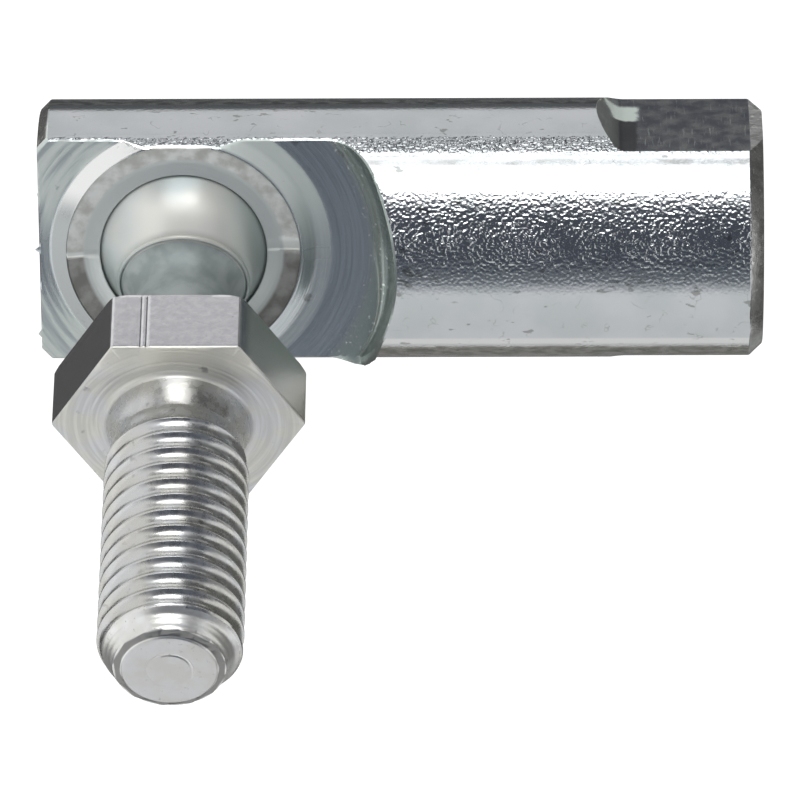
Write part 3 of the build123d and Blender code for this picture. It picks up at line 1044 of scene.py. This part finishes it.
# ---- studio ----
CAMERA_ELEVATION = radians(24.125)
CAMERA_YAW = radians(1.078)
CAMERA_ROLL = radians(-0.596)
FOCAL = 9000 / 800  # focal length, in picture widths
SCALE = 22.662 / 9000  # picture widths per mm, at the ball, over the focal length in picture widths
BALL_IN_VIEW = (-0.26784, 0.21458)  # ball's centre from the picture's middle, in picture widths
CARD_R = 0.25  # how far the cards stand from the ball, in metres
LAMP_R = 0.24  # and the soft boxes
FLOOR_Z = -0.3
FLOOR_GLOW = 0.35  # brings the floor up to white, to the eye and in reflections


def camera():
    """A long lens, above the ball's opening."""
    yaw = Matrix.Rotation(CAMERA_YAW, 3, "Z")
    back = yaw @ Vector((0, -cos(CAMERA_ELEVATION), sin(CAMERA_ELEVATION)))
    right = yaw @ Vector((1, 0, 0))
    up = back.cross(right)
    turn, shift = cos(CAMERA_ROLL), sin(CAMERA_ROLL)
    right, up = right * turn + up * shift, up * turn - right * shift
    distance = MM / SCALE
    ball_x, ball_y = (v / FOCAL * distance for v in BALL_IN_VIEW)
    data = bpy.data.cameras.new("camera")
    data.sensor_width = 36
    data.lens = 36 * FOCAL
    data.clip_start, data.clip_end = 0.01, 10
    eye = BALL + back * distance - right * ball_x - up * ball_y
    obj = add_object("camera", data)
    obj.matrix_world = Matrix.Translation(eye) @ Matrix((right, up, back)).transposed().to_4x4()
    bpy.context.scene.camera = obj


def card(name, points, faces, level):
    """A glowing card that only reflections see."""
    obj = mesh_object(name, points, faces)
    material = bpy.data.materials.new(name)
    material.use_nodes = True
    nodes, links = material.node_tree.nodes, material.node_tree.links
    nodes.remove(nodes["Principled BSDF"])
    glow = nodes.new("ShaderNodeEmission")
    glow.inputs["Color"].default_value = (*level, 1)
    links.new(glow.outputs["Emission"], nodes["Material Output"].inputs["Surface"])
    obj.data.materials.append(material)
    obj.visible_camera = False
    obj.visible_shadow = False


def band(name, elevations, sides, level, radius=CARD_R):
    """A card bent round the X axis, between two elevations in degrees (0 faces -Y, and 90 is overhead) and
    two places along X, in metres from the ball."""
    steps = 24
    points = [
        Vector((BALL.x + x, -radius * cos(turn), radius * sin(turn)))
        for turn in np.radians(np.linspace(*elevations, steps + 1))
        for x in sides
    ]
    card(name, points, grid_faces(steps + 1, 2, False), level)


def white_floor():
    """A pale floor far below, white to the eye and in reflections, that still takes the object's shadow."""
    corners = [Vector((x, y, FLOOR_Z)) for x, y in ((-3, -3), (3, -3), (3, 3), (-3, 3))]
    floor = mesh_object("floor", corners, [(0, 1, 2, 3)])
    finish = Finish("floor", 0.9, 0.0)
    finish.shader.inputs["Base Color"].default_value = (0.85, 0.85, 0.85, 1)
    finish.shader.inputs["Emission Color"].default_value = (1, 1, 1, 1)
    ray = finish.node("LightPath").outputs
    seen = finish.most(ray["Is Camera Ray"], finish.most(ray["Is Glossy Ray"], ray["Is Transmission Ray"]))
    finish.feed("Emission Strength", finish.times(seen, FLOOR_GLOW))
    floor.data.materials.append(finish.material)


def soft_box(name, size, elevation, azimuth, level):
    """A soft lamp that faces the ball, from an elevation about X and an azimuth towards +X, in degrees."""
    lamp = bpy.data.lights.new(name, "AREA")
    lamp.shape = "RECTANGLE"
    lamp.size, lamp.size_y = size
    lamp.energy = level * pi * lamp.size * lamp.size_y
    obj = add_object(name, lamp)
    turn, side = radians(elevation), radians(azimuth)
    direction = Vector((sin(side), -cos(side) * cos(turn), cos(side) * sin(turn)))
    obj.location = BALL + direction * LAMP_R
    obj.rotation_euler = (-direction).to_track_quat("-Z", "Y").to_euler()
    obj.visible_camera = False


def studio():
    """White all round, grey cards that the plate mirrors as dark bands, and soft boxes above."""
    world = bpy.data.worlds.new("white_room")
    world.use_nodes = True
    background = world.node_tree.nodes["Background"].inputs
    background["Color"].default_value = (1, 1, 1, 1)
    background["Strength"].default_value = 1.0
    bpy.context.scene.world = world
    white_floor()
    band("front_flag", (-12, 44), (-0.1, 0.3), (0.11, 0.12, 0.15))
    band("front_flag_low", (-28.5, -12), (-0.1, 0.16), (0.22, 0.24, 0.27))
    band("front_flag_edge", (-32, -28.5), (-0.1, 0.16), (0.5, 0.53, 0.56))
    band("front_flag_fringe", (-36, -32), (-0.1, 0.16), (0.75, 0.77, 0.79))
    band("right_flag", (-50, -14), (0.08, 0.3), (0.2, 0.2, 0.2), CARD_R + 0.01)
    band("upper_right_flag", (50, 130), (0.07, 0.3), (0.11, 0.115, 0.12))
    band("upper_left_flag", (50, 100), (-0.17, -0.06), (0.35, 0.36, 0.37))
    band("gap_flag", (94, 110), (-0.05, 0.07), (0.22, 0.22, 0.24))
    band("rear_flag_left", (153, 252), (-0.5, -0.08), (0.12, 0.12, 0.12))
    band("rear_flag", (153, 215), (-0.08, 0.08), (0.13, 0.135, 0.14))
    band("under_flag", (215, 252), (-0.08, 0.08), (0.25, 0.25, 0.245))
    band("rear_flag_right", (153, 252), (0.08, 0.5), (0.36, 0.37, 0.36))
    side = [Vector((0.09, y, z)) for y, z in ((-0.03, -0.12), (0.15, -0.12), (0.15, 0.1), (-0.03, 0.1))]
    card("end_flag", side, [(0, 1, 2, 3)], (0.16, 0.16, 0.155))
    soft_box("low_box", (0.15, 0.05), 58, -2, 5.5)
    soft_box("middle_box", (0.14, 0.06), 73, 0, 1.8)
    soft_box("top_box", (0.14, 0.035), 86, 1.5, 1.6)


# ---- the object ----
bpy.context.scene.view_settings.view_transform = "Standard"
camera()
studio()

stud = ball_stud()
stud_finishes = [ball_film(), neck_film(), hexagon_plate(), hexagon_front(), thread_plate(), shank_end()]
finishes(stud, stud_finishes, stud_region)
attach(stud, "stud")
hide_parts("ball_stud")

housing_finishes = [bar_skin(), spot_face(), staked_collar(), wrench_flat(), turned_end()]
body = housing_body()
finishes(body, housing_finishes, housing_region)
bore = rod_bore()
finishes(bore, housing_finishes[4:], lambda centre, normal: 0)
for piece in (body, bore):
    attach(piece, "housing")
    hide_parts("socket_housing")
